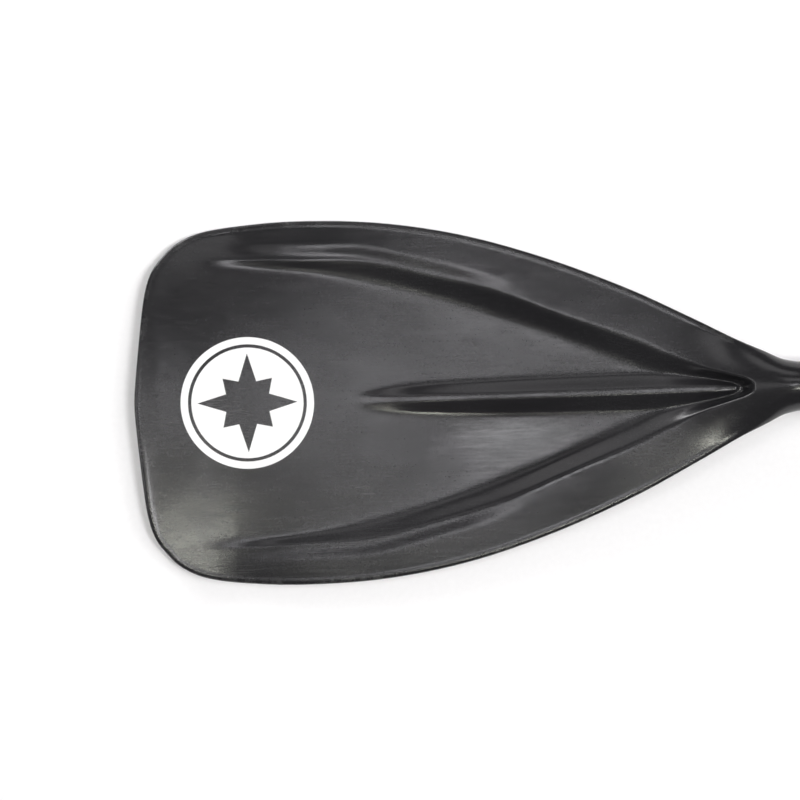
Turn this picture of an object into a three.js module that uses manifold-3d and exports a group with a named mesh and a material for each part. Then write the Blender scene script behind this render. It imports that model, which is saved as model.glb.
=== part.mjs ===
// A double-bladed kayak paddle that takes apart, lying on its blades' backs.
// Millimetres, +X along the shaft, +Z up, z = 0 on the floor, x = 0 and y = 0 at the middle.
import * as THREE from "three";
import { mergeVertices } from "three/addons/utils/BufferGeometryUtils.js";
import Module from "manifold-3d";

const wasm = await Module();
wasm.setup();

// Driving dimensions
const LENGTH = 2200;
const AXIS_Z = 24.0;
const FLOOR_Z = 0;
const GAP = 0.3;

const TUBE_R = 14.5;
const TUBE_WALL = 1.2;
const TUBE_BORE_R = TUBE_R - TUBE_WALL;
const TUBE_SIDES = 32;

const BLADE_LENGTH = 400;
const BLADE_HALF_WIDTH = 110.6;
const BLADE_RIM = 3.2;
const NECK_END = 430;
const SPIGOT_R = 13.0;
const SPIGOT_END = 510;
const SPIGOT_BORE_R = 9.4;
const SPIGOT_FLOOR = 442;
const SEAL_U = 444;
const BUTTON_U = 472;
const BUTTON_R = 3.9;

const BADGE_U = 67.5;
const BADGE_R = 40;
const BADGE_THICKNESS = 0.35;

const LEFT_TUBE = [-LENGTH / 2 + NECK_END + GAP, 0];
const FERRULE_R = 13.0;
const FERRULE_BORE_R = 10.8;
const FERRULE = [-130, 190];
const KEYWAY_WIDTH = 4;
const KEYWAY_DEPTH = 1.1;
const COLLAR = [-24, 38];
const COLLAR_R = 18.5;
const RING = [38.4, 50];
const RING_R = 18.5;
const RIGHT_TUBE = [RING[1] + 0.6, LENGTH / 2 - NECK_END - GAP];
const RIVETS = [95, 160];
const GRIP_X = 355;
const GRIP_LENGTH = 150;
const DRIP_X = 560;
const PLUG_X = [500, 578];

// The clamp: its bolt stands beside the shaft and the lever closes over the collar's top.
const CLAMP_X = 19;
const BOLT_Y = 27;
const BOLT_R = 2.5;
const EAR_TOP = 8;
const EAR_BOTTOM = -7;
const WASHER_THICKNESS = 1.8;
const CAM_R = 6.2;
const CAM_OFFSET = 1.0;
const BARREL_R = 3.6;
const BARREL_Z = EAR_TOP + GAP + WASHER_THICKNESS + GAP + CAM_R + CAM_OFFSET;
const BARREL_LENGTH = 17;
const NUT_TOP = EAR_BOTTOM - GAP;

const lerp = (a, b, t) => a + (b - a) * t;
const clamp01 = (t) => Math.min(1, Math.max(0, t));
const ease = (a, b, x) => {
  const t = clamp01((x - a) / (b - a));
  return t * t * (3 - 2 * t);
};

// A smooth curve through a few [place, value] pairs, level beyond its ends.
function curveThrough(pairs) {
  const slope = (i) => {
    if (i <= 0 || i >= pairs.length - 1) return 0;
    const [before, after] = [pairs[i - 1], pairs[i + 1]];
    return (after[1] - before[1]) / (after[0] - before[0]);
  };
  return (x) => {
    if (x <= pairs[0][0]) return pairs[0][1];
    const last = pairs.length - 1;
    if (x >= pairs[last][0]) return pairs[last][1];
    let i = 0;
    while (x > pairs[i + 1][0]) i += 1;
    const span = pairs[i + 1][0] - pairs[i][0];
    const t = (x - pairs[i][0]) / span;
    const h = t * t * (3 - 2 * t);
    const tangents = slope(i) * t * (1 - t) ** 2 - slope(i + 1) * t * t * (1 - t);
    return lerp(pairs[i][1], pairs[i + 1][1], h) + tangents * span;
  };
}

// Blade shape. u runs from the tip to the neck, v across from the middle, w up from the shaft's axis.

// Half-width of the blade: full near the tip, then a long taper that flares into the neck.
const halfWidth = curveThrough([
  [10, 80], [16, 88.2], [25, 97.6], [40, 104.9], [65, 108.9], [102, BLADE_HALF_WIDTH], [150, 108.1],
  [200, 99.2], [250, 83.5], [300, 62.4], [339, 42.0], [362, 29.3], [378, 21.6], [389, 16.4],
  [BLADE_LENGTH + 2, TUBE_R],
]);

// The tip's edge is a very flat V with a rounded point, falling away faster at the corners.
const CORNER = [16, 88.2];
function tipEdge(v) {
  const slope = 0.102;
  const point = 8;
  const flatV = (x) => slope * (Math.hypot(x, point) - point);
  return flatV(v) + (CORNER[0] - flatV(CORNER[1])) * (Math.abs(v) / CORNER[1]) ** 9;
}

// Distance in from the blade's edge, measured square to it, at the tip or at the side.
function insetAt(u, v) {
  const x = Math.abs(v);
  const slant = (edge, at) => Math.hypot(1, (edge(at + 0.5) - edge(at - 0.5)));
  const fromTip = x <= CORNER[1] ? (u - tipEdge(x)) / slant(tipEdge, x) : Infinity;
  const fromSide = u >= CORNER[0] ? (halfWidth(u) - x) / slant(halfWidth, u) : Infinity;
  return Math.max(0, Math.min(fromTip, fromSide));
}

// Height of the blade's middle surface: a long spoon, bent a little from side to side.
const spoon = curveThrough([
  [0, -9.6], [4, -10.0], [52, -15.8], [62, -16.4], [140, -18.8], [220, -17.8], [300, -10.5],
  [360, -3], [400, 0],
]);
const dish = curveThrough([[0, -1.7], [60, -1.5], [130, -0.3], [220, 1.8], [320, 0.3], [380, 0]]);

// How far the section has turned from a plate into the round neck.
const roundness = (u) => ease(0, 1, clamp01((u - 270) / (BLADE_LENGTH - 270)) ** 2);

// Places of the relief: the middle spine's foot, and the foot and edge of the recess's wall.
const CREST = 2.0;
const spineFoot = curveThrough([
  [128, 4.5], [160, 7.6], [200, 9.2], [280, 10.4], [318, 10.4], [329, 9.0], [339, 7.2], [351, 5.1],
  [359, 3.3], [363, 1.4],
]);
const stepFoot = curveThrough([
  [42, 83], [100, 80.8], [140, 74], [180, 64.5], [220, 52], [260, 37], [300, 19.5], [318, 12.0],
  [329, 10.3], [339, 8.4], [351, 6.3], [359, 4.6], [363, 3.3], [366, 1.5],
]);
const stepEdge = curveThrough([
  [42, 88], [100, 85.8], [140, 83.8], [180, 74.3], [220, 63], [260, 46.5], [300, 31], [319, 22],
  [339, 13.6], [357, 7.8], [365, 5.2], [369, 3.2], [371, 2.0],
]);
const recessDepth = curveThrough([[42, 0], [100, 2.4], [180, 4.4], [260, 5.4], [350, 5.4], [370, 4.6]]);
const spineHeight = curveThrough([[128, 0], [165, 3.6], [240, 4.6], [348, 4.6], [363, 2.6]]);
const borderFall = curveThrough([[50, 0], [85, 0.7], [190, 0.8], [245, 0]]);

// The flat-topped spine stands in the recess, whose wall closes round the spine's end. Outside the
// wall the border falls a little from the blade's edge.
const crestAt = (u) => Math.min(CREST, 0.4 * spineFoot(u));
function reliefAt(u, v, crown) {
  const x = Math.abs(v);
  const inside = (1 - ease(stepFoot(u), stepEdge(u), x)) * (1 - ease(364.3, 370.3, u));
  const flank = clamp01((spineFoot(u) - x) / (spineFoot(u) - crestAt(u)));
  const spine = spineHeight(u) * flank * (1 - ease(359.8, 363.8, u));
  const border = borderFall(u) * (1 - ease(stepEdge(u) + 2, stepEdge(u) + 11, x));
  return spine - inside * (recessDepth(u) + 0.65 * crown) - border;
}

// The rim is rounded over, so the plate thins to nothing at its outline.
function rimShare(u, v) {
  const into = clamp01(insetAt(u, v) / (BLADE_RIM / 2));
  return Math.sqrt(1 - (1 - into) ** 2);
}

function bladeSection(u, v) {
  const k = roundness(u);
  const across = clamp01(Math.abs(v) / halfWidth(u));
  const swell = TUBE_R * k * (1 - across ** 2) ** lerp(1.6, 0.5, k);
  const half = (BLADE_RIM / 2) * (1 - k) * rimShare(u, v);
  const middle = spoon(u) + dish(u) * (v / BLADE_HALF_WIDTH) ** 2;
  const front = middle + half + swell + reliefAt(u, v, swell);
  const bulge = recessDepth(u) * (1 - ease(stepFoot(u) - 12, stepEdge(u) + 4, Math.abs(v)));
  const back = middle - half - swell - bulge * (1 - k);
  return { front, back: Math.max(back, FLOOR_Z - AXIS_Z) };
}

// Columns of the blade's net, from the middle outwards, on the relief's lines and never too close.
const RING_COLUMNS = 10;
const CLOSEST_COLUMNS = 0.45;
function columnsAt(u) {
  const edge = halfWidth(u);
  const rim = BLADE_RIM / 2;
  const inner = edge - rim;
  const foot = spineFoot(u);
  const low = Math.min(stepFoot(u), inner * 0.93);
  const high = Math.min(stepEdge(u), inner * 0.96);
  const plate = [
    0, crestAt(u), foot, lerp(foot, low, 0.5), low, high, lerp(high, inner, 0.2), lerp(high, inner, 0.6),
    inner, edge - rim * 0.3, edge,
  ];
  for (let j = 1; j < plate.length; j += 1) plate[j] = Math.max(plate[j], plate[j - 1] + CLOSEST_COLUMNS);
  const k = ease(366, BLADE_LENGTH, u);
  return plate.map((v, j) => lerp(v, edge * Math.sin((j * Math.PI) / 2 / RING_COLUMNS), k));
}

// One closed loop of [u, v, w] points round the blade, from a list of front and back heights.
function loopOf(points) {
  const right = points.map(([u, v, front]) => [u, v, front]);
  const left = points.slice(1, -1).map(([u, v, front]) => [u, -v, front]).reverse();
  const under = points.map(([u, v, , back]) => [u, v, back]);
  const leftUnder = points.slice(1, -1).map(([u, v, , back]) => [u, -v, back]);
  const last = points[points.length - 1];
  return [
    ...left, ...right.slice(0, -1), last.slice(0, 3),
    ...under.slice(0, -1).reverse(), ...leftUnder, [last[0], -last[1], last[2]],
  ];
}

// Rows of the net follow the tip's edge at first and then run straight across. Each tip row is a
// share of the way to the first straight one, close together over the rim's rounding.
const TIP_ROWS = [0, 0.005, 0.016, 0.05, 0.1, 0.17, 0.26, 0.4, 0.58, 0.8, 1];
const STRAIGHT_U = 100;
const BLADE_ROWS = [
  118, 140, 160, 185, 210, 240, 270, 300, 320, 335, 349, 359, 363, 366.5, 370.5, 380, 390, BLADE_LENGTH + 2,
];

function tipRow(t) {
  const centre = STRAIGHT_U * t;
  const side = lerp(CORNER[0], STRAIGHT_U, t ** 1.1);
  const outline = halfWidth(side);
  return columnsAt(side).map((v) => {
    const share = tipEdge((v / outline) * CORNER[1]) / tipEdge(CORNER[1]);
    return bladePoint(centre + (side - centre) * share, v);
  });
}

const straightRow = (u) => columnsAt(u).map((v) => bladePoint(u, v));

function bladePoint(u, v) {
  const section = bladeSection(u, v);
  return [u, v, section.front, section.back];
}

function roundRow(u, radius) {
  const points = [];
  for (let j = 0; j <= RING_COLUMNS; j += 1) {
    const angle = (j * Math.PI) / 2 / RING_COLUMNS;
    const w = radius * Math.cos(angle);
    points.push([u, radius * Math.sin(angle), w, -w]);
  }
  points[RING_COLUMNS][2] = 0;
  points[RING_COLUMNS][3] = 0;
  return points;
}

function bladeLoops() {
  const rows = [...TIP_ROWS.map(tipRow), ...BLADE_ROWS.map(straightRow)];
  const groove = SPIGOT_R - 1.9;
  const spigot = [
    [NECK_END - 0.8, TUBE_R], [NECK_END, TUBE_R - 0.8], [NECK_END, SPIGOT_R],
    [SEAL_U - 1.6, SPIGOT_R], [SEAL_U - 1.6, groove], [SEAL_U + 1.6, groove], [SEAL_U + 1.6, SPIGOT_R],
    [SPIGOT_END - 2, SPIGOT_R], [SPIGOT_END, SPIGOT_R - 1.6], [SPIGOT_END, SPIGOT_BORE_R],
    [SPIGOT_FLOOR + 8, SPIGOT_BORE_R],
  ];
  for (const [u, radius] of spigot) rows.push(roundRow(u, radius));
  return rows.map(loopOf);
}

// Joins loops of equal length into one closed skin, capped at its first and last loops.
function skinOf(loops) {
  const corners = [];
  const put = (...points) => points.forEach((point) => corners.push(...point));
  const count = loops[0].length;
  for (let i = 0; i + 1 < loops.length; i += 1) {
    for (let j = 0; j < count; j += 1) {
      const next = (j + 1) % count;
      const [a, b] = [loops[i][j], loops[i][next]];
      const [c, d] = [loops[i + 1][j], loops[i + 1][next]];
      put(a, c, b);
      put(b, c, d);
    }
  }
  const last = loops[loops.length - 1];
  const hub = [last[0][0] - SPIGOT_BORE_R * 0.6, 0, 0];
  for (let j = 0; j < count; j += 1) put(last[j], hub, last[(j + 1) % count]);
  const geometry = new THREE.BufferGeometry();
  geometry.setAttribute("position", new THREE.Float32BufferAttribute(corners, 3));
  return geometry;
}

// Exact joining and cutting of closed meshes.
function solidOf(geometry) {
  const plain = geometry.index ? geometry.toNonIndexed() : geometry.clone();
  for (const name of Object.keys(plain.attributes)) if (name !== "position") plain.deleteAttribute(name);
  const merged = dropFlats(mergeVertices(plain, 1e-4));
  const vertProperties = new Float32Array(merged.attributes.position.array);
  const triVerts = new Uint32Array(merged.index.array);
  return new wasm.Manifold(new wasm.Mesh({ numProp: 3, vertProperties, triVerts }));
}

// Triangles whose corners have merged are left out.
function dropFlats(geometry) {
  const kept = [];
  const index = geometry.index.array;
  for (let i = 0; i < index.length; i += 3) {
    const [a, b, c] = index.slice(i, i + 3);
    if (a !== b && b !== c && c !== a) kept.push(a, b, c);
  }
  geometry.setIndex(kept);
  return geometry;
}

function geometryOf(solid) {
  const mesh = solid.getMesh();
  const geometry = new THREE.BufferGeometry();
  geometry.setAttribute("position", new THREE.BufferAttribute(mesh.vertProperties, 3));
  geometry.setIndex(new THREE.BufferAttribute(mesh.triVerts, 1));
  return geometry;
}

function cut(geometry, ...tools) {
  const rest = tools.reduce((solid, tool) => solid.subtract(solidOf(tool)), solidOf(geometry));
  return geometryOf(rest);
}

function join(...geometries) {
  const [first, ...others] = geometries.map(solidOf);
  return geometryOf(others.reduce((solid, other) => solid.add(other), first));
}

// Turned shapes. A lathe's profile is [radius, place] pairs and its axis is turned to lie along X.
function turnedAlongX(profile, sides = TUBE_SIDES) {
  const points = profile.map(([radius, x]) => new THREE.Vector2(radius, x));
  return new THREE.LatheGeometry(points, sides).rotateZ(-Math.PI / 2);
}

function turnedAlongZ(profile, sides = 20) {
  const points = profile.map(([radius, z]) => new THREE.Vector2(radius, z));
  return new THREE.LatheGeometry(points, sides).rotateX(Math.PI / 2);
}

function tube(from, to, outer, inner, chamfer = 0.4) {
  return turnedAlongX([
    [inner, from], [outer - chamfer, from], [outer, from + chamfer],
    [outer, to - chamfer], [outer - chamfer, to], [inner, to], [inner, from],
  ]);
}

function box(x, y, z) {
  const size = [x[1] - x[0], y[1] - y[0], z[1] - z[0]];
  const middle = [(x[0] + x[1]) / 2, (y[0] + y[1]) / 2, (z[0] + z[1]) / 2];
  return new THREE.BoxGeometry(...size).translate(...middle);
}

function upright(radius, x, y, z, sides = 24) {
  const height = z[1] - z[0];
  const drum = new THREE.CylinderGeometry(radius, radius, height, sides).rotateX(Math.PI / 2);
  return drum.translate(x, y, (z[0] + z[1]) / 2);
}

// Looks
const look = (color, roughness, metalness) =>
  new THREE.MeshStandardMaterial({ color, roughness, metalness });
const BLADE_PLASTIC = [0x3a3b3d, 0.42, 0];
const BADGE_FILM = [0xe9e9e6, 0.4, 0];
const TUBE_METAL = [0x24262a, 0.35, 0.8];
const BARE_METAL = [0xb9bcc0, 0.3, 1];
const RUBBER = [0x1b1c1d, 0.75, 0];
const NYLON = [0x2b2c2f, 0.5, 0];
const FOAM = [0xc9ced2, 0.9, 0];

const paddle = new THREE.Group();
paddle.name = "kayak_paddle";

const shaftLine = new THREE.Group();
shaftLine.position.z = AXIS_Z;
paddle.add(shaftLine);

function piece(name, geometry, finish, parent) {
  const mesh = new THREE.Mesh(geometry, look(...finish));
  mesh.name = name;
  parent.add(mesh);
  return mesh;
}

// Blade end: everything here has its own x = u, measured from the blade's tip towards the shaft.
function bladeGeometry() {
  const hole = upright(BUTTON_R + GAP, BUTTON_U, 0, [SPIGOT_BORE_R - 3, SPIGOT_R + 2]);
  return cut(skinOf(bladeLoops()), hole);
}

// The badge is a thin round film that follows the blade's surface.
function badgeGeometry() {
  const rings = 4;
  const sides = 32;
  const height = (u, v) => bladeSection(u, v).front;
  const ringAt = (radius, lift) => {
    const points = [];
    for (let j = 0; j < sides; j += 1) {
      const angle = (j * 2 * Math.PI) / sides;
      const [u, v] = [BADGE_U + radius * Math.cos(angle), radius * Math.sin(angle)];
      points.push([u, v, height(u, v) + lift]);
    }
    return points;
  };
  const corners = [];
  const put = (...points) => points.forEach((point) => corners.push(...point));
  const [low, high] = [GAP, GAP + BADGE_THICKNESS];
  const hubs = [low, high].map((lift) => [BADGE_U, 0, height(BADGE_U, 0) + lift]);
  for (let j = 0; j < sides; j += 1) {
    const next = (j + 1) % sides;
    for (let i = 0; i < rings; i += 1) {
      const [inner, outer] = [(BADGE_R * i) / rings, (BADGE_R * (i + 1)) / rings];
      const [top, topOut] = [ringAt(inner, high), ringAt(outer, high)];
      const [base, baseOut] = [ringAt(inner, low), ringAt(outer, low)];
      if (i === 0) {
        put(hubs[1], topOut[j], topOut[next]);
        put(hubs[0], baseOut[next], baseOut[j]);
      } else {
        put(top[j], topOut[j], top[next], top[next], topOut[j], topOut[next]);
        put(base[j], base[next], baseOut[j], base[next], baseOut[next], baseOut[j]);
      }
      if (i === rings - 1) {
        put(topOut[j], baseOut[j], topOut[next], topOut[next], baseOut[j], baseOut[next]);
      }
    }
  }
  const geometry = new THREE.BufferGeometry();
  geometry.setAttribute("position", new THREE.Float32BufferAttribute(corners, 3));
  return geometryOf(solidOf(geometry));
}

function sealGeometry() {
  const section = [];
  const middle = SPIGOT_R - 0.75;
  const radius = 0.95;
  for (let i = 0; i <= 6; i += 1) {
    const angle = (i * Math.PI) / 3;
    section.push([middle + radius * Math.cos(angle), SEAL_U + radius * Math.sin(angle)]);
  }
  return turnedAlongX(section, 28);
}

// The snap button: a domed pin with a wider foot that stops it inside the spigot.
const BUTTON_FOOT = 4.8;
const BUTTON_TOP = TUBE_R + 2.6;
function buttonGeometry() {
  const seat = SPIGOT_BORE_R - 2.6;
  return turnedAlongZ([
    [0, seat], [BUTTON_FOOT, seat], [BUTTON_FOOT, seat + 0.9], [BUTTON_R, seat + 0.9],
    [BUTTON_R, BUTTON_TOP - 1.4], [BUTTON_R * 0.8, BUTTON_TOP - 0.5], [BUTTON_R * 0.4, BUTTON_TOP],
    [0, BUTTON_TOP],
  ]).translate(BUTTON_U, 0, 0);
}

// A leaf spring folded into a V on its side, its upper leg under the button.
function springGeometry() {
  const top = SPIGOT_BORE_R - 2.6 - GAP;
  const bottom = -SPIGOT_BORE_R + 1.4;
  const leaf = 0.8;
  const fold = BUTTON_U + 22;
  const start = BUTTON_U - 7;
  const shape = new THREE.Shape();
  const lean = 5.2;
  shape.moveTo(start, top);
  shape.lineTo(BUTTON_U + 5, top);
  shape.lineTo(fold, top - lean);
  shape.quadraticCurveTo(fold + 5, (top + bottom) / 2, fold, bottom + lean);
  shape.lineTo(BUTTON_U + 5, bottom);
  shape.lineTo(start, bottom);
  shape.lineTo(start, bottom + leaf);
  shape.lineTo(BUTTON_U + 4.8, bottom + leaf);
  shape.lineTo(fold - 0.3, bottom + lean + leaf);
  shape.quadraticCurveTo(fold + 3.6, (top + bottom) / 2, fold - 0.3, top - lean - leaf);
  shape.lineTo(BUTTON_U + 4.8, top - leaf);
  shape.lineTo(start, top - leaf);
  shape.closePath();
  const width = 6;
  const strip = new THREE.ExtrudeGeometry(shape, { depth: width, bevelEnabled: false, curveSegments: 6 });
  return strip.translate(0, 0, -width / 2).rotateX(Math.PI / 2);
}

function bladeEnd(side, parent) {
  const end = new THREE.Group();
  end.position.x = (side === "left" ? -1 : 1) * (LENGTH / 2);
  end.rotation.z = side === "left" ? 0 : Math.PI;
  parent.add(end);
  piece(`${side}_blade`, bladeGeometry(), BLADE_PLASTIC, end);
  piece(`${side}_badge`, badgeGeometry(), BADGE_FILM, end);
  piece(`${side}_o_ring`, sealGeometry(), RUBBER, end);
  piece(`${side}_button`, buttonGeometry(), BARE_METAL, end);
  piece(`${side}_button_spring`, springGeometry(), BARE_METAL, end);
}

// Shaft half: its tube with the button's hole, the grip, the drip ring and the flotation plug.
function shaftTubeGeometry(from, to, direction, rivetHoles) {
  const buttonX = direction * (LENGTH / 2 - BUTTON_U);
  const holes = [upright(BUTTON_R + GAP, buttonX, 0, [TUBE_BORE_R - 3, TUBE_R + 2])];
  for (const x of rivetHoles) holes.push(upright(RIVET_R + GAP, x, 0, [TUBE_BORE_R - 3, TUBE_R + 2], 12));
  return cut(tube(from, to, TUBE_R, TUBE_BORE_R), ...holes);
}

function gripGeometry() {
  const half = GRIP_LENGTH / 2;
  const inner = TUBE_R + GAP;
  return turnedAlongX([
    [inner, -half], [inner + 1.1, -half], [inner + 2.1, -half + 4],
    [inner + 2.1, half - 4], [inner + 1.1, half], [inner, half], [inner, -half],
  ]);
}

function dripRingGeometry() {
  const inner = TUBE_R + 0.25;
  return turnedAlongX([
    [inner, -11], [inner + 1.8, -11], [inner + 2.4, -9], [inner + 2.4, -3.5], [21.2, -0.2],
    [22.5, 2.6], [21.9, 3.4], [19.4, 1.6], [inner + 3.4, 1.8], [inner + 2.4, 4],
    [inner + 2.4, 9], [inner + 1.8, 11], [inner, 11], [inner, -11],
  ], 28);
}

function plugGeometry() {
  const [from, to] = PLUG_X;
  const radius = TUBE_BORE_R - 0.4;
  return turnedAlongX([
    [0, from], [radius - 2, from], [radius, from + 2], [radius, to - 2], [radius - 2, to], [0, to],
  ], 24);
}

// Blind rivet seen from its own axis: domed head, shank and the flare drawn up behind the wall.
const RIVET_R = 1.9;
function rivetGeometry() {
  const inside = FERRULE_BORE_R - GAP;
  return turnedAlongZ([
    [0, inside - 2.6], [2.2, inside - 2.2], [2.9, inside - 1], [RIVET_R, inside - 0.1],
    [RIVET_R, TUBE_R + GAP], [3.4, TUBE_R + GAP], [3.1, TUBE_R + 0.9], [1.8, TUBE_R + 1.5],
    [0, TUBE_R + 1.7],
  ], 12);
}

function shaftHalf(side, from, to, rivetHoles, parent) {
  const direction = side === "left" ? -1 : 1;
  piece(`${side}_shaft_tube`, shaftTubeGeometry(from, to, direction, rivetHoles), TUBE_METAL, parent);
  piece(`${side}_grip_sleeve`, gripGeometry(), RUBBER, parent).position.x = direction * GRIP_X;
  const ring = piece(`${side}_drip_ring`, dripRingGeometry(), RUBBER, parent);
  ring.position.x = direction * DRIP_X;
  ring.rotation.z = side === "left" ? Math.PI : 0;
  const plug = piece(`${side}_foam_plug`, plugGeometry(), FOAM, parent);
  plug.rotation.z = side === "left" ? Math.PI : 0;
}

// Ferrule: the inner tube with its keyway, and the bush that guides its free end.
function ferruleGeometry() {
  const [from, to] = FERRULE;
  const keyway = box(
    [from + 14, RIVETS[0] - 12],
    [-KEYWAY_WIDTH / 2, KEYWAY_WIDTH / 2],
    [-FERRULE_R - 1, -FERRULE_R + KEYWAY_DEPTH],
  );
  const holes = RIVETS.map((x) => upright(RIVET_R + GAP, x, 0, [FERRULE_BORE_R - 3, FERRULE_R + 2], 12));
  return cut(tube(from, to, FERRULE_R, FERRULE_BORE_R), keyway, ...holes);
}

function endBushGeometry() {
  const end = FERRULE[0];
  const inner = FERRULE_BORE_R - GAP;
  return turnedAlongX([
    [8, end - 6], [inner + 1.5, end - 6], [SPIGOT_R, end - 5], [SPIGOT_R, end - GAP], [inner, end - GAP],
    [inner, end + 14], [inner - 0.8, end + 16], [8, end + 16], [8, end - 6],
  ]);
}

// Collar: a split nylon clamp with two ears, and a lipped nose that holds the feather ring.
const NOSE_R = 15.9;
const NOSE_START = 31;
const NOSE_GROOVE = [33.5, 36];
function collarGeometry() {
  const [from, to] = COLLAR;
  const step = LEFT_TUBE[1] + GAP;
  const body = turnedAlongX([
    [TUBE_R + GAP, from], [COLLAR_R - 2, from], [COLLAR_R - 0.6, from + 1.6], [COLLAR_R, from + 5],
    [COLLAR_R, NOSE_START - 0.8], [COLLAR_R - 0.8, NOSE_START], [NOSE_R, NOSE_START],
    [NOSE_R, NOSE_GROOVE[0]], [NOSE_R - 0.9, NOSE_GROOVE[0]], [NOSE_R - 0.9, NOSE_GROOVE[1]],
    [NOSE_R, NOSE_GROOVE[1]], [NOSE_R - 0.6, to], [FERRULE_R + GAP, to], [FERRULE_R + GAP, step],
    [TUBE_R + GAP, step], [TUBE_R + GAP, from],
  ]);
  const ears = earsGeometry();
  const bore = turnedAlongX([
    [0, step - 1], [FERRULE_R + GAP, step - 1], [FERRULE_R + GAP, to], [0, to],
  ]);
  const split = box([step + 3, to + 1], [0, BOLT_Y + 12], [-0.9, 0.9]);
  const boltHole = upright(BOLT_R + GAP, CLAMP_X, BOLT_Y, [EAR_BOTTOM - 1, EAR_TOP + 1]);
  return cut(join(body, cut(ears, bore)), split, boltHole);
}

// The ears' outline from above: a block against the collar with a round end about the bolt.
function earsGeometry() {
  const width = 9.5;
  const outline = new THREE.Shape();
  outline.moveTo(CLAMP_X - width, FERRULE_R);
  outline.lineTo(CLAMP_X + width, FERRULE_R);
  outline.lineTo(CLAMP_X + width, BOLT_Y);
  outline.absarc(CLAMP_X, BOLT_Y, width, 0, Math.PI, false);
  outline.lineTo(CLAMP_X - width, FERRULE_R);
  const height = EAR_TOP - EAR_BOTTOM;
  const block = new THREE.ExtrudeGeometry(outline, { depth: height, bevelEnabled: false, curveSegments: 12 });
  return block.translate(0, 0, EAR_BOTTOM);
}

// Feather ring: turns on the collar's nose, with a key that runs in the ferrule's keyway.
function featherRingGeometry() {
  const [from, to] = RING;
  const bore = FERRULE_R + GAP;
  const lip = NOSE_R - 0.9 + GAP;
  const body = turnedAlongX([
    [NOSE_R + GAP, NOSE_START + GAP], [RING_R - 0.8, NOSE_START + GAP], [RING_R, NOSE_START + 1],
    [RING_R, to - 3], [RING_R - 1, to - 1], [RING_R - 3, to], [bore, to], [bore, from],
    [NOSE_R + GAP, from], [NOSE_R + GAP, NOSE_GROOVE[1] - GAP], [lip, NOSE_GROOVE[1] - GAP],
    [lip, NOSE_GROOVE[0] + GAP], [NOSE_R + GAP, NOSE_GROOVE[0] + GAP], [NOSE_R + GAP, NOSE_START + GAP],
  ]);
  const key = box([from + 1, to - 1], [-1.6, 1.6], [-bore - 1, -FERRULE_R + KEYWAY_DEPTH - GAP]);
  const flutes = [];
  const fluteCount = 10;
  for (let i = 0; i < fluteCount; i += 1) {
    const flute = new THREE.CylinderGeometry(1.1, 1.1, to - NOSE_START - 6, 6).rotateZ(Math.PI / 2);
    flute.translate((NOSE_START + to) / 2, 0, RING_R + 0.35);
    flutes.push(flute.rotateX(((i + 0.5) * 2 * Math.PI) / fluteCount));
  }
  return cut(join(body, key), ...flutes);
}

// Clamp hardware: the bolt hangs from the barrel, which the lever turns on.
function boltGeometry() {
  const low = NUT_TOP - NUT_HEIGHT - 1.5;
  const thread = turnedAlongZ([
    [0, low], [BOLT_R - 0.5, low], [BOLT_R, low + 0.7], [BOLT_R, BARREL_Z - 0.6], [0, BARREL_Z - 0.6],
  ]);
  return thread.translate(CLAMP_X, BOLT_Y, 0);
}

function barrelGeometry() {
  const half = BARREL_LENGTH / 2;
  const pin = turnedAlongX([
    [0, -half], [BARREL_R - 0.5, -half], [BARREL_R, -half + 0.5], [BARREL_R, half - 0.5],
    [BARREL_R - 0.5, half], [0, half],
  ], 24);
  const socket = upright(BOLT_R + GAP, 0, 0, [-BARREL_R - 1, 0], 24);
  return cut(pin, socket);
}

const NUT_HEIGHT = 6;
function thumbNutGeometry() {
  const knob = turnedAlongZ([
    [BOLT_R + GAP, NUT_TOP - NUT_HEIGHT], [6.2, NUT_TOP - NUT_HEIGHT], [7, NUT_TOP - NUT_HEIGHT + 0.8],
    [7, NUT_TOP - 1.6], [5.4, NUT_TOP], [BOLT_R + GAP, NUT_TOP], [BOLT_R + GAP, NUT_TOP - NUT_HEIGHT],
  ], 24);
  const flutes = [];
  for (let i = 0; i < 8; i += 1) {
    const flute = upright(1.1, 7.4, 0, [NUT_TOP - NUT_HEIGHT - 1, NUT_TOP + 1], 8);
    flutes.push(flute.rotateZ((i * Math.PI) / 4));
  }
  return cut(knob, ...flutes);
}

function washerGeometry() {
  const low = EAR_TOP + GAP;
  const outline = new THREE.Shape();
  const [halfX, halfY] = [8.4, 7.4];
  outline.moveTo(-halfX + 2, -halfY);
  outline.lineTo(halfX - 2, -halfY);
  outline.absarc(halfX - 2, -halfY + 2, 2, -Math.PI / 2, 0, false);
  outline.absarc(halfX - 2, halfY - 2, 2, 0, Math.PI / 2, false);
  outline.absarc(-halfX + 2, halfY - 2, 2, Math.PI / 2, Math.PI, false);
  outline.absarc(-halfX + 2, -halfY + 2, 2, Math.PI, Math.PI * 1.5, false);
  const options = { depth: WASHER_THICKNESS + 1, bevelEnabled: false, curveSegments: 4 };
  const plate = new THREE.ExtrudeGeometry(outline, options).translate(0, 0, low);
  const hole = upright(BOLT_R + GAP, 0, 0, [low - 1, low + 4]);
  const cradle = new THREE.CylinderGeometry(CAM_R + GAP, CAM_R + GAP, 40, 40).rotateZ(Math.PI / 2);
  return cut(plate, hole, cradle.translate(0, 0, BARREL_Z - CAM_OFFSET));
}

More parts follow.
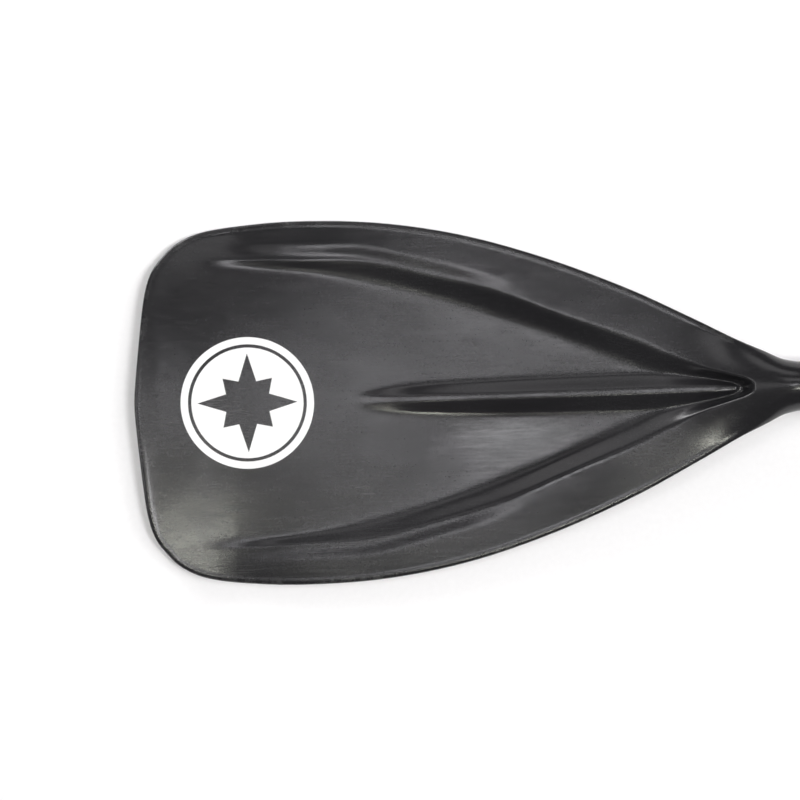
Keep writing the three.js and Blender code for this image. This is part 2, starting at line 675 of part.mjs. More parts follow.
// Lever: two eccentric cheeks on the barrel and one curved arm that hugs the collar.
function leverGeometry() {
  const inner = COLLAR_R + 1.2;
  const outer = inner + 3.4;
  const [start, end] = [0.95, 2.75];
  const arm = new THREE.Shape();
  arm.absarc(0, 0, outer, start - 0.25, end, false);
  arm.absarc(0, 0, inner, end, start, true);
  arm.closePath();
  const width = 17;
  const half = width / 2;
  const sweep = { depth: width, bevelEnabled: false, curveSegments: 14 };
  const plate = new THREE.ExtrudeGeometry(arm, sweep);
  const cheekOutline = new THREE.Shape();
  const [cy, cz] = [BOLT_Y, BARREL_Z - CAM_OFFSET];
  const reach = [Math.cos(start) * (outer - 0.4), Math.sin(start) * (outer - 0.4)];
  cheekOutline.absarc(cy, cz, CAM_R, -Math.PI * 0.85, Math.PI * 0.52, false);
  cheekOutline.lineTo(reach[0] - 1.5, reach[1] + 3.2);
  cheekOutline.lineTo(reach[0] - 2.6, reach[1] - 1);
  cheekOutline.closePath();
  const cheeks = new THREE.ExtrudeGeometry(cheekOutline, sweep);
  const wholeLever = join(plate, cheeks);
  const turned = wholeLever.translate(0, 0, -half).rotateX(Math.PI / 2).rotateZ(Math.PI / 2);
  const slot = box([-BOLT_R - 1.3, BOLT_R + 1.3], [BOLT_Y - 8.5, BOLT_Y + 12], [-5, BARREL_Z + 12]);
  const bore = new THREE.CylinderGeometry(BARREL_R + GAP, BARREL_R + GAP, 60, 24).rotateZ(Math.PI / 2);
  return cut(turned, slot, bore.translate(0, BOLT_Y, BARREL_Z));
}

bladeEnd("left", shaftLine);
shaftHalf("left", ...LEFT_TUBE, [], shaftLine);

piece("clamp_collar", collarGeometry(), NYLON, shaftLine);
piece("clamp_bolt", boltGeometry(), BARE_METAL, shaftLine);
piece("cam_washer", washerGeometry(), BARE_METAL, shaftLine).position.set(CLAMP_X, BOLT_Y, 0);
piece("lever_barrel", barrelGeometry(), BARE_METAL, shaftLine).position.set(CLAMP_X, BOLT_Y, BARREL_Z);
piece("thumb_nut", thumbNutGeometry(), NYLON, shaftLine).position.set(CLAMP_X, BOLT_Y, 0);
piece("cam_lever", leverGeometry(), NYLON, shaftLine).position.x = CLAMP_X;

piece("feather_ring", featherRingGeometry(), NYLON, shaftLine);
piece("ferrule_tube", ferruleGeometry(), BARE_METAL, shaftLine);
piece("ferrule_end_bush", endBushGeometry(), NYLON, shaftLine);
RIVETS.forEach((x, i) => {
  piece(`ferrule_rivet_${i + 1}`, rivetGeometry(), BARE_METAL, shaftLine).position.x = x;
});
shaftHalf("right", ...RIGHT_TUBE, RIVETS, shaftLine);
bladeEnd("right", shaftLine);

export default paddle;
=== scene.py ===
"""The looks of a take-apart kayak paddle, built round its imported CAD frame.

Metres, +X along the shaft, +Z up. The left blade's tip is at the low end of X.
"""
import math

import bmesh
import bpy
import numpy as np
from mathutils import Matrix, Vector


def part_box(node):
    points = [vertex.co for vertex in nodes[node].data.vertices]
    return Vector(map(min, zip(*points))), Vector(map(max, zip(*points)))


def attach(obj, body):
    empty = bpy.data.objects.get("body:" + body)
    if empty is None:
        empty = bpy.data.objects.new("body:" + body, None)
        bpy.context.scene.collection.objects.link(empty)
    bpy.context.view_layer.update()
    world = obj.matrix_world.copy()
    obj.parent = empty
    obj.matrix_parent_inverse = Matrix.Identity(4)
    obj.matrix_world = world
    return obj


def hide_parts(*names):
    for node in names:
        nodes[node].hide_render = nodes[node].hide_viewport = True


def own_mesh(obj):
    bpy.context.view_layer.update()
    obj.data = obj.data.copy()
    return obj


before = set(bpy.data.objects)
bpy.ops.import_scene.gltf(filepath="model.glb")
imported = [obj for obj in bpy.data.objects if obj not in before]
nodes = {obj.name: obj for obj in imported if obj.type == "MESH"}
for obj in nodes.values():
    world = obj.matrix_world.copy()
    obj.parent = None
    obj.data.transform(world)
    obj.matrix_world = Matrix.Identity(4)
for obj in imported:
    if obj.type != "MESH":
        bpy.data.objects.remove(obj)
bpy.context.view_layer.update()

MM = 0.001
SIDES = ("left", "right")

# Places and sizes taken from the frame, in metres
tip_x = {"left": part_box("left_blade")[0].x, "right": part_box("right_blade")[1].x}
tube_low, tube_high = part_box("left_shaft_tube")
AXIS_Z = (tube_low.z + tube_high.z) / 2
TUBE_R = (tube_high.y - tube_low.y) / 2


# ---------------------------------------------------------------- blade shape
# u runs from the tip to the neck, v across from the middle, w up from the shaft's axis. Lengths in
# this section and the next are in millimetres.

NECK_R = TUBE_R / MM
BLADE_LENGTH = 400
HALF_WIDTH = 110.6
RIM = 3.2               # thickness of the plate at its edge, which is fully rounded
CORNER = (16, 88.2)     # where the tip's edge meets the side's, as (u, v)
ROUNDING_START = 285    # from here the flat blade turns into the round neck
CREST = 2.0             # half width of the spine's flat top
CREST_SHARE = 0.4       # largest share of the spine's half width that its flat top takes
CREST_ROUNDING = 0.35   # radii along the spine's top and foot, as shares of their half widths
FOOT_ROUNDING = 0.16
WALL_FOOT_ROUNDING = 0.32   # radii along a step's foot and top, as shares of the step's width
WALL_TOP_ROUNDING = 0.16
SWELL_CUT = 0.65        # share of the neck's swell that the recess cuts away
SPINE_CLOSE = (359.8, 363.8)    # where spine and recess run out at the neck
RECESS_CLOSE = (364.3, 370.3)
BORDER_START = 2        # the border's own slope and level begin this far outside the step
BORDER_BLEND = 11       # and its level is reached this far outside it
BULGE_START, BULGE_END = -12, 4     # the back's bulge runs out from inside the step to outside it
BEAD_HEIGHT, BEAD_INSET, BEAD_WIDTH = 0.2, 2.4, 1.1     # a faint bead just inside the edge


def curve_through(pairs):
    """A smooth curve through a few (place, value) pairs, level beyond its ends."""
    x, y = np.array(pairs, float).T
    slope = np.zeros(len(x))
    slope[1:-1] = (y[2:] - y[:-2]) / (x[2:] - x[:-2])

    def curve(at):
        q = np.clip(at, x[0], x[-1])
        i = np.clip(np.searchsorted(x, q, side="right") - 1, 0, len(x) - 2)
        span = x[i + 1] - x[i]
        t = (q - x[i]) / span
        h = t * t * (3 - 2 * t)
        tangents = slope[i] * t * (1 - t) ** 2 - slope[i + 1] * t * t * (1 - t)
        return y[i] + (y[i + 1] - y[i]) * h + span * tangents

    return curve


def ease(low, high, x):
    """From 0 at low to 1 at high, level at both ends."""
    t = np.clip((x - low) / (high - low), 0, 1)
    return t * t * (3 - 2 * t)


def soft_positive(x, radius):
    """x where it is above zero and zero below, rounded over about the radius."""
    return (x + np.sqrt(x * x + radius * radius)) / 2


# Curves over u. Half the blade's width at the edge:
half_width = curve_through([
    (10, 80), (16, 88.2), (25, 97.6), (40, 104.9), (65, 108.9), (102, HALF_WIDTH), (150, 108.1),
    (200, 99.2), (250, 83.5), (300, 62.4), (339, 42.0), (362, 29.3), (378, 21.6), (389, 16.4),
    (BLADE_LENGTH + 2, NECK_R),
])
# height of the plate's middle line, and how much higher the plate is at v = HALF_WIDTH
spoon = curve_through([
    (0, -8.9), (15, -11.0), (30, -13.1), (44, -15.05), (52, -15.95), (60, -16.6), (75, -17.2),
    (140, -18.8), (220, -17.8), (300, -10.5), (360, -3), (400, 0),
])
dish = curve_through([
    (0, -5.0), (50, -4.6), (90, -1.9), (130, -0.3), (220, 1.8), (320, 0.3), (380, 0),
])
# the spine's half width and height
spine_foot = curve_through([
    (126, 4.6), (150, 7.2), (200, 9.2), (280, 10.4), (318, 10.4), (329, 9.0), (339, 7.2),
    (351, 5.1), (359, 3.3), (363, 1.4),
])
spine_height = curve_through([
    (126, 0), (145, 0.5), (180, 2.6), (240, 4.4), (348, 4.6), (363, 2.6),
])
# the foot and top edge of the step between recess and border, and the recess's depth
step_foot = curve_through([
    (42, 83), (100, 80.8), (140, 74), (180, 64.5), (220, 52), (260, 37), (300, 19.5), (318, 12.0),
    (329, 10.3), (339, 8.4), (351, 6.3), (359, 4.6), (363, 3.3), (366, 1.5),
])
step_edge = curve_through([
    (42, 88), (100, 85.8), (140, 83.8), (180, 74.3), (220, 63), (260, 46.5), (300, 31), (319, 22),
    (339, 13.6), (357, 7.8), (365, 5.2), (369, 3.2), (371, 2.0),
])
recess_depth = curve_through([
    (32, 0), (60, 0.8), (100, 2.2), (180, 4.4), (260, 5.4), (350, 5.4), (370, 4.6),
])
# how far the plate inside the border lies below it, and the border's slope down to the edge
border_fall = curve_through([(50, 0), (85, 0.7), (190, 0.8), (245, 0)])
border_lean = curve_through([(150, 0), (210, 0.015), (260, 0.025), (345, 0.03), (385, 0)])


def tip_edge(v):
    """u of the tip's edge at v: swept back slightly, then round to the corner."""
    slope, point, corner_power = 0.102, 8, 9

    def swept(x):
        return slope * (np.hypot(x, point) - point)

    corner = CORNER[0] - swept(CORNER[1])
    return swept(v) + corner * (np.abs(v) / CORNER[1]) ** corner_power


def inset_at(u, v):
    """Distance in from the blade's edge, measured square to it."""
    x = np.abs(v)
    far, hair = 1e6, 1e-9

    def slant(edge, at):
        return np.hypot(1, edge(at + 0.5) - edge(at - 0.5))

    from_tip = np.where(x <= CORNER[1] + hair, (u - tip_edge(x)) / slant(tip_edge, x), far)
    from_side = np.where(u >= CORNER[0] - hair, (half_width(u) - x) / slant(half_width, u), far)
    return np.maximum(0, np.minimum(from_tip, from_side))


def roundness(u):
    """0 where the blade is a plate, 1 where it is the round neck."""
    share = (u - ROUNDING_START) / (BLADE_LENGTH - ROUNDING_START)
    return ease(0, 1, np.clip(share, 0, 1) ** 2)


def relief_at(u, v, swell):
    """The recess between its two border steps, and the flat-topped spine down its middle."""
    x = np.abs(v)
    foot, edge = step_foot(u), step_edge(u)
    width = edge - foot
    wall = soft_positive(x - foot, WALL_FOOT_ROUNDING * width)
    wall = (wall - soft_positive(x - edge, WALL_TOP_ROUNDING * width)) / width
    inside = np.clip(1 - wall, 0, 1) * (1 - ease(*RECESS_CLOSE, u))
    base = spine_foot(u)
    crest = np.minimum(CREST, CREST_SHARE * base)
    down = soft_positive(x - crest, CREST_ROUNDING * crest)
    down = down + soft_positive(-x - crest, CREST_ROUNDING * crest)
    flank = 1 - (down - soft_positive(x - base, FOOT_ROUNDING * base)) / (base - crest)
    spine = spine_height(u) * np.clip(flank, 0, 1) * (1 - ease(*SPINE_CLOSE, u))
    border = border_fall(u) * (1 - ease(edge + BORDER_START, edge + BORDER_BLEND, x))
    return spine - inside * (recess_depth(u) + SWELL_CUT * swell) - border


def blade_section(u, v):
    """Heights of the front and back of the blade at (u, v)."""
    k = roundness(u)
    across = np.clip(np.abs(v) / half_width(u), 0, 1)
    inset = inset_at(u, v)
    plate_power, round_power = 1.6, 0.5
    power = plate_power + (round_power - plate_power) * k
    swell = NECK_R * k * np.maximum(1 - across ** 2, 0) ** power
    into = np.clip(inset / (RIM / 2), 0, 1)
    half = (RIM / 2) * (1 - k) * np.sqrt(1 - (1 - into) ** 2)
    outside = soft_positive(np.abs(v) - step_edge(u) - BORDER_START, 3)
    middle = spoon(u) + dish(u) * (v / HALF_WIDTH) ** 2 - border_lean(u) * outside
    bead = BEAD_HEIGHT * np.exp(-((inset - BEAD_INSET) / BEAD_WIDTH) ** 2) * (1 - k) * into
    front = middle + half + swell + bead + relief_at(u, v, swell)
    # the back bulges where the front is recessed, and stays above the floor
    bulge_side = ease(step_foot(u) + BULGE_START, step_edge(u) + BULGE_END, np.abs(v))
    bulge = recess_depth(u) * (1 - bulge_side) * (1 - k)
    back = np.maximum(middle - half - swell - bulge, -AXIS_Z / MM)
    return front, back


# ---------------------------------------------------------------- blade net

THINNEST = 0.002        # front and back stay this far apart, so that the mesh stays closed
QUARTER = 1 - np.cos(np.linspace(0, math.pi / 2, 7))    # places round a quarter circle
RIM_SHARE = 0.016       # share of the tip's rows that goes round the rim
TIP_ROWS_END = 100      # where the rows that follow the tip have become straight
ROUND_ROWS_START = 368  # from here the columns move to even steps round the neck
NECK_END = 430
SPIGOT_R = 13.0         # the spigot that goes into the tube, with its seal's groove and its bore
SPIGOT_END = 510
SPIGOT_BORE_R = 9.4
SPIGOT_FLOOR = 442
SEAL_U = 444
SEAL_HALF = 1.6
GROOVE_R = SPIGOT_R - 1.9


def spread(low, high, count, last=False):
    """count places from low to high, without high unless it is the last stretch."""
    return np.linspace(low, high, count, endpoint=last)


def stretches(places, counts):
    """Places over several stretches, each with its own count, without the very last place."""
    return [spread(low, high, count) for low, high, count in zip(places, places[1:], counts)]


def columns_at(u):
    """Places across the half blade, close together on the relief's lines and over the rim."""
    edge = float(half_width(u))
    inner = edge - RIM / 2
    spine = float(spine_foot(u))
    foot = min(float(step_foot(u)), 0.93 * inner)
    top = min(float(step_edge(u)), 0.96 * inner)
    recess, wall, border = foot - spine, top - foot, inner - top
    places = [
        0, 0.32 * spine, 0.85 * spine, spine, spine + 0.12 * recess, foot - 0.1 * recess,
        foot + 0.25 * wall, foot + 0.8 * wall, top, top + 0.15 * border, top + 0.85 * border, inner,
    ]
    counts = (7, 5, 3, 4, 11, 6, 6, 4, 5, 12, 5)
    plate = np.concatenate([*stretches(places, counts), inner + (RIM / 2) * (1 - QUARTER[::-1])])
    k = float(ease(ROUND_ROWS_START, BLADE_LENGTH, u))
    ring = edge * np.sin(np.linspace(0, math.pi / 2, len(plate)))
    return plate * (1 - k) + ring * k


def tip_row(share):
    """Half a row that follows the tip's edge at first and runs straight across at its last."""
    centre = TIP_ROWS_END * share
    side = CORNER[0] + (TIP_ROWS_END - CORNER[0]) * share ** 1.1
    v = columns_at(side)
    along = tip_edge(v / half_width(side) * CORNER[1]) / tip_edge(CORNER[1])
    return centre + (side - centre) * along, v


def loop_of(u, v, front, back):
    """A closed loop of (u, v, w) points round the blade from half a row of heights."""
    front_half = np.stack([u, v, front], 1)
    back_half = np.stack([u, v, back], 1)
    mirror = np.array([1, -1, 1])
    return np.concatenate([
        front_half[:0:-1] * mirror, front_half, back_half[-2::-1], back_half[1:-1] * mirror,
    ])


def blade_rows():
    """Half rows of (u, v) from the tip's edge to where the neck is round."""
    shares = np.concatenate([RIM_SHARE * QUARTER, np.linspace(0.026, 1, 58)])
    rows = [tip_row(share) for share in shares]
    places = np.concatenate([
        *stretches((101.7, 300, 354, 376), (118, 43, 56)),
        spread(376, BLADE_LENGTH + 2, 18, last=True),
    ])
    for u in places:
        v = columns_at(u)
        rows.append((np.full(len(v), u), v))
    return rows


def blade_loops():
    """The net's closed loops, from the tip's edge to the end of the spigot's bore."""
    loops = []
    for u, v in blade_rows():
        front, back = blade_section(u, v)
        if loops:   # only the first row and each row's edge point may be shared by both faces
            apart = np.maximum(0, THINNEST - (front - back))[:-1] / 2
            front[:-1] += apart
            back[:-1] -= apart
        loops.append(loop_of(u, v, front, back))
    turned = [
        (NECK_END - 1.0, NECK_R), (NECK_END - 0.4, NECK_R - 0.2), (NECK_END, NECK_R - 0.8),
        (NECK_END, SPIGOT_R), (SEAL_U - SEAL_HALF, SPIGOT_R), (SEAL_U - SEAL_HALF, GROOVE_R),
        (SEAL_U + SEAL_HALF, GROOVE_R), (SEAL_U + SEAL_HALF, SPIGOT_R),
        (SPIGOT_END - 2, SPIGOT_R), (SPIGOT_END, SPIGOT_R - 1.6),
        (SPIGOT_END, SPIGOT_BORE_R), (SPIGOT_FLOOR + 8, SPIGOT_BORE_R), (SPIGOT_FLOOR + 3, 0),
    ]
    angle = np.linspace(0, math.pi / 2, len(v))
    for place, radius in turned:
        w = radius * np.cos(angle)
        loops.append(loop_of(np.full(len(angle), place), radius * np.sin(angle), w, -w))
    return np.array(loops)


def direction(side):
    """+1 for the left blade, whose u runs along +X, and -1 for the right one."""
    return 1 if side == "left" else -1


def to_world(points, side):
    """Millimetre (u, v, w) points of a blade end to places in the frame."""
    sign = direction(side)
    return np.stack([
        tip_x[side] + sign * points[:, 0] * MM,
        sign * points[:, 1] * MM,
        AXIS_Z + points[:, 2] * MM,
    ], 1)


# ---------------------------------------------------------------- mesh helpers

SHARP = math.radians(35)    # faces that meet more steeply than this get a sharp edge
MERGE = 1e-7                # points closer than this, in metres, are one


def new_object(name, vertices, faces):
    """A closed, outward-facing, smooth-shaded mesh object, sharp where its faces meet steeply."""
    mesh = bpy.data.meshes.new(name)
    mesh.from_pydata([tuple(v) for v in vertices], [], faces)
    bm = bmesh.new()
    bm.from_mesh(mesh)
    bmesh.ops.remove_doubles(bm, verts=bm.verts, dist=MERGE)
    bmesh.ops.recalc_face_normals(bm, faces=bm.faces)
    bm.to_mesh(mesh)
    bm.free()
    mesh.polygons.foreach_set("use_smooth", [True] * len(mesh.polygons))
    mesh.set_sharp_from_angle(angle=SHARP)
    made = bpy.data.objects.new(name, mesh)
    bpy.context.scene.collection.objects.link(made)
    return made


def net_faces(rows, count):
    """Quads between the rows of a net whose rows are closed loops of count points."""
    faces = []
    for i in range(rows - 1):
        for j in range(count):
            k = (j + 1) % count
            faces.append((i * count + j, (i + 1) * count + j, (i + 1) * count + k, i * count + k))
    return faces


def turned_along_x(name, profile, centre, sides=96):
    """A body turned about a line along X, from a (radius, x) profile, closed or ending on the line."""
    angle = np.linspace(0, 2 * math.pi, sides, endpoint=False)
    rings = [
        np.stack([
            np.full(sides, x), centre[0] + r * np.cos(angle), centre[1] + r * np.sin(angle),
        ], 1)
        for r, x in profile
    ]
    return new_object(name, np.concatenate(rings), net_faces(len(profile), sides))


# ---------------------------------------------------------------- material helpers

def new_material(name):
    """A material with its node tree and its shader node."""
    material = bpy.data.materials.new(name)
    material.use_nodes = True
    return material, material.node_tree, material.node_tree.nodes["Principled BSDF"]


def add(tree, kind, **values):
    """A node of this kind with its properties and input values set."""
    node = tree.nodes.new(kind)
    for key, value in values.items():
        if key in node.inputs:
            node.inputs[key].default_value = value
        else:
            setattr(node, key, value)
    return node


def placed(tree, scale):
    """Texture coordinates from the object's own space, multiplied by scale along each axis."""
    coordinates = add(tree, "ShaderNodeTexCoord")
    mapping = add(tree, "ShaderNodeMapping")
    mapping.inputs["Scale"].default_value = scale
    tree.links.new(coordinates.outputs["Object"], mapping.inputs["Vector"])
    return mapping.outputs["Vector"]


def plain(tree):
    """Texture coordinates from the object's own space, in metres."""
    return placed(tree, (1, 1, 1))


def noise(tree, vector, scale, detail, roughness):
    """A noise between 0 and 1, mostly between 0.3 and 0.7."""
    node = add(tree, "ShaderNodeTexNoise", Scale=scale, Detail=detail, Roughness=roughness)
    tree.links.new(vector, node.inputs["Vector"])
    return node.outputs["Fac"]


def ramp(tree, value, stops):
    """A colour for each value, from (place, colour or grey level) stops."""
    node = add(tree, "ShaderNodeValToRGB")
    elements = node.color_ramp.elements
    while len(elements) < len(stops):
        elements.new(0.5)
    for element, (place, level) in zip(elements, stops):
        element.position = place
        colour = level if isinstance(level, tuple) else (level,) * 3
        element.color = (*colour, 1)
    tree.links.new(value, node.inputs["Fac"])
    return node.outputs["Color"]


def fitted(tree, value, low, high, to_low, to_high):
    """The value moved from one range to another and kept inside it."""
    node = add(tree, "ShaderNodeMapRange")
    node.inputs["From Min"].default_value = low
    node.inputs["From Max"].default_value = high
    node.inputs["To Min"].default_value = to_low
    node.inputs["To Max"].default_value = to_high
    tree.links.new(value, node.inputs["Value"])
    return node.outputs["Result"]


def mixed(tree, share, first, second):
    """A colour mix; share, first and second are sockets or plain values."""
    node = add(tree, "ShaderNodeMix", data_type="RGBA")
    share_in, first_in, second_in = node.inputs[0], node.inputs[6], node.inputs[7]
    for socket, value in ((share_in, share), (first_in, first), (second_in, second)):
        if isinstance(value, bpy.types.NodeSocket):
            tree.links.new(value, socket)
        else:
            socket.default_value = (*value, 1) if isinstance(value, tuple) else value
    return node.outputs[2]


def maths(tree, operation, first, second):
    """A sum or product of two sockets or plain values."""
    node = add(tree, "ShaderNodeMath", operation=operation)
    for socket, value in zip(node.inputs, (first, second)):
        if isinstance(value, bpy.types.NodeSocket):
            tree.links.new(value, socket)
        else:
            socket.default_value = value
    return node.outputs[0]


def bumped(tree, shader, height, distance, after=None):
    """Bump of this height in metres, over an earlier bump if there is one."""
    node = add(tree, "ShaderNodeBump", Strength=1.0, Distance=distance)
    tree.links.new(height, node.inputs["Height"])
    if after is not None:
        tree.links.new(after, node.inputs["Normal"])
    tree.links.new(node.outputs["Normal"], shader.inputs["Normal"])
    return node.outputs["Normal"]


# ---------------------------------------------------------------- materials

USUAL = (0.3, 0.7)      # the range that most of a noise's values lie in


def blade_plastic():
    """Charcoal glass-filled plastic with lengthwise streaks, fine speckle and a scuffed rim."""
    material, tree, shader = new_material("blade_plastic")
    streaks = noise(tree, placed(tree, (22, 850, 850)), 1.0, 3, 0.6)
    clouds = noise(tree, placed(tree, (9, 16, 16)), 1.0, 4, 0.5)
    speckle = noise(tree, plain(tree), 800, 3, 0.7)
    streak_tone = fitted(tree, streaks, *USUAL, 0, 0.25)
    cloud_tone = fitted(tree, clouds, *USUAL, 0, 0.4)
    tone = maths(tree, "ADD", streak_tone, cloud_tone)
    tone = maths(tree, "ADD", tone, fitted(tree, speckle, *USUAL, 0, 0.35))
    dark, pale = (0.0070, 0.0068, 0.0076), (0.0175, 0.0171, 0.0188)
    colour = ramp(tree, tone, [(0.0, dark), (1.0, pale)])
    rim = add(tree, "ShaderNodeAttribute", attribute_name="rim")
    patchy = noise(tree, placed(tree, (60, 60, 60)), 1.0, 5, 0.7)
    worn = maths(tree, "MULTIPLY", rim.outputs["Fac"], fitted(tree, patchy, 0.5, 0.7, 0, 0.6))
    colour = mixed(tree, worn, colour, (0.06, 0.06, 0.058))
    tree.links.new(colour, shader.inputs["Base Color"])
    streak_rough = fitted(tree, streaks, *USUAL, 0.195, 0.245)
    rough = maths(tree, "ADD", streak_rough, maths(tree, "MULTIPLY", worn, 0.3))
    rough = maths(tree, "ADD", rough, fitted(tree, clouds, *USUAL, -0.05, 0.05))
    tree.links.new(rough, shader.inputs["Roughness"])
    shader.inputs["Specular IOR Level"].default_value = 0.5
    first = bumped(tree, shader, streaks, 0.00001)
    second = bumped(tree, shader, speckle, 0.00002, after=first)
    bumped(tree, shader, clouds, 0.0006, after=second)
    return material


def badge_film():
    """Satin white vinyl film, very slightly mottled."""
    material, tree, shader = new_material("badge_film")
    print_grain = noise(tree, plain(tree), 900, 2, 0.5)
    colour = ramp(tree, print_grain, [(0.3, (0.80, 0.80, 0.79)), (0.7, (0.86, 0.86, 0.85))])
    tree.links.new(colour, shader.inputs["Base Color"])
    tree.links.new(fitted(tree, print_grain, *USUAL, 0.38, 0.46), shader.inputs["Roughness"])
    bumped(tree, shader, print_grain, 0.00001)
    return material


def black_anodised():
    """Black anodised aluminium with drawing lines along the tube and faint scuffs."""
    material, tree, shader = new_material("black_anodised")
    lines = noise(tree, placed(tree, (6, 700, 700)), 1.0, 3, 0.6)
    scuffs = noise(tree, placed(tree, (30, 90, 90)), 1.0, 6, 0.75)
    scuffed = fitted(tree, scuffs, 0.62, 0.72, 0, 0.35)
    base = ramp(tree, lines, [(0.3, (0.012, 0.012, 0.013)), (0.7, (0.022, 0.022, 0.024))])
    tree.links.new(mixed(tree, scuffed, base, (0.09, 0.09, 0.092)), shader.inputs["Base Color"])
    line_rough = fitted(tree, lines, *USUAL, 0.26, 0.36)
    rough = maths(tree, "ADD", line_rough, maths(tree, "MULTIPLY", scuffed, 0.3))
    tree.links.new(rough, shader.inputs["Roughness"])
    shader.inputs["Metallic"].default_value = 0.35
    bumped(tree, shader, lines, 0.00002)
    return material


def brushed_metal(name, colour, along):
    """Bare metal with fine lines along one axis."""
    material, tree, shader = new_material(name)
    scale = [500, 500, 500]
    scale["xyz".index(along)] = 12
    lines = noise(tree, placed(tree, tuple(scale)), 1.0, 3, 0.6)
    dull = tuple(0.82 * c for c in colour)
    tree.links.new(ramp(tree, lines, [(0.3, dull), (0.7, colour)]), shader.inputs["Base Color"])
    tree.links.new(fitted(tree, lines, *USUAL, 0.22, 0.38), shader.inputs["Roughness"])
    shader.inputs["Metallic"].default_value = 1.0
    bumped(tree, shader, lines, 0.00002)
    return material


def moulded_rubber():
    """Matte black rubber with a dusty bloom and a fine tooth."""
    material, tree, shader = new_material("moulded_rubber")
    bloom = noise(tree, placed(tree, (45, 45, 45)), 1.0, 4, 0.6)
    tooth = noise(tree, plain(tree), 2400, 2, 0.5)
    colour = ramp(tree, bloom, [(0.3, (0.014, 0.014, 0.015)), (0.7, (0.030, 0.030, 0.031))])
    tree.links.new(colour, shader.inputs["Base Color"])
    tree.links.new(fitted(tree, bloom, *USUAL, 0.62, 0.8), shader.inputs["Roughness"])
    bumped(tree, shader, tooth, 0.00006)
    return material


def textured_nylon():
    """Black glass-filled nylon with a spark-eroded texture, rubbed smoother in patches."""
    material, tree, shader = new_material("textured_nylon")
    grain = noise(tree, plain(tree), 1700, 3, 0.6)
    rubbed = noise(tree, placed(tree, (70, 70, 70)), 1.0, 3, 0.5)
    colour = ramp(tree, rubbed, [(0.3, (0.017, 0.0175, 0.018)), (0.7, (0.027, 0.0275, 0.028))])
    tree.links.new(colour, shader.inputs["Base Color"])
    tree.links.new(fitted(tree, rubbed, *USUAL, 0.52, 0.4), shader.inputs["Roughness"])
    bumped(tree, shader, grain, 0.00005)
    return material


def closed_cell_foam():
    """Pale grey closed-cell foam."""
    material, tree, shader = new_material("closed_cell_foam")
    cells = add(tree, "ShaderNodeTexVoronoi", Scale=900.0)
    tree.links.new(plain(tree), cells.inputs["Vector"])
    from_centre = cells.outputs["Distance"]
    colour = ramp(tree, from_centre, [(0.0, (0.62, 0.65, 0.67)), (0.7, (0.48, 0.51, 0.53))])
    tree.links.new(colour, shader.inputs["Base Color"])
    shader.inputs["Roughness"].default_value = 0.9
    bumped(tree, shader, from_centre, 0.0003)
    return material


def studio_floor():
    """White paper floor with a painted glow: it emits faint light far from the paddle, as if lit to
    its edges.
    """
    material, tree, shader = new_material("studio_floor")
    paper = noise(tree, plain(tree), 300, 2, 0.5)
    tree.links.new(ramp(tree, paper, [(0.3, 0.89), (0.7, 0.91)]), shader.inputs["Base Color"])
    shader.inputs["Roughness"].default_value = 0.8
    shader.inputs["Specular IOR Level"].default_value = 0.1
    # painted light: the floor's emission grows with distance from the paddle, standing in for light
    # reaching its far parts
    distance = add(tree, "ShaderNodeVectorMath", operation="LENGTH")
    tree.links.new(placed(tree, (0.6, 1, 1)), distance.inputs[0])
    glow_from, glow_full, full_glow = 0.9, 2.6, 0.75
    glow = fitted(tree, distance.outputs["Value"], glow_from, glow_full, 0, full_glow)
    shader.inputs["Emission Color"].default_value = (1, 1, 1, 1)
    tree.links.new(glow, shader.inputs["Emission Strength"])
    return material


PLASTIC = blade_plastic()
FILM = badge_film()
TUBE = black_anodised()
INNER_TUBE = brushed_metal("clear_anodised", (0.62, 0.63, 0.64), "x")
STEEL = brushed_metal("stainless_steel", (0.62, 0.61, 0.60), "z")
RUBBER = moulded_rubber()
NYLON = textured_nylon()
FOAM = closed_cell_foam()


# ---------------------------------------------------------------- pieces

SMALL_BEVEL = 0.1 * MM      # for thin tubes, seals and springs
RIM_REACH = 360             # u up to which the rim's wear is painted
RIM_WEAR = 5                # and how far in from the edge it goes, in millimetres
FILM_THICKNESS = 0.12 * MM
BADGE_U = 67.5              # the badge's centre, radii and star, in millimetres
BADGE_R = 40
BADGE_RING = (35.6, 33.6)
STAR_RADII = (30, 14, 21, 14)


def finish(piece, material, bevel=0.25 * MM):
    """Gives a CAD node, or a copy of one, its material, rounded edges and smooth shading."""
    piece.data.materials.clear()
    piece.data.materials.append(material)
    piece.data.polygons.foreach_set("use_smooth", [True] * len(piece.data.polygons))
    weld = piece.modifiers.new("weld", "WELD")
    weld.merge_threshold = 1e-6
    rounding = piece.modifiers.new("rounding", "BEVEL")
    rounding.width = bevel
    rounding.segments = 2
    rounding.limit_method = "ANGLE"
    rounding.angle_limit = math.radians(32)
    rounding.harden_normals = True


def stand_in(piece, body, slot, material, *replaced):
    """Gives a new piece its material and body, and hides the CAD nodes it stands for. The slot is not
    used.
    """
    piece.data.materials.append(material)
    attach(piece, body)
    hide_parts(*replaced)


def blade(side):
    """The moulded blade with its neck and spigot, and its wear along the rim."""
    loops = blade_loops()
    rows, count = loops.shape[:2]
    points = loops.reshape(-1, 3)
    made = new_object(f"{side}_blade_shell", to_world(points, side), net_faces(rows, count))
    co = np.empty(len(made.data.vertices) * 3)
    made.data.vertices.foreach_get("co", co)
    co = co.reshape(-1, 3)
    u = (co[:, 0] - tip_x[side]) * direction(side) / MM
    inset = inset_at(np.clip(u, 0, BLADE_LENGTH), co[:, 1] / MM)
    worn = np.where(u < RIM_REACH, 1 - ease(0, RIM_WEAR, inset), 0)
    rim = made.data.attributes.new("rim", "FLOAT", "POINT")
    rim.data.foreach_set("value", worn.astype(np.float32))
    stand_in(made, f"{side}_half", "blade_plastic", PLASTIC, f"{side}_blade")


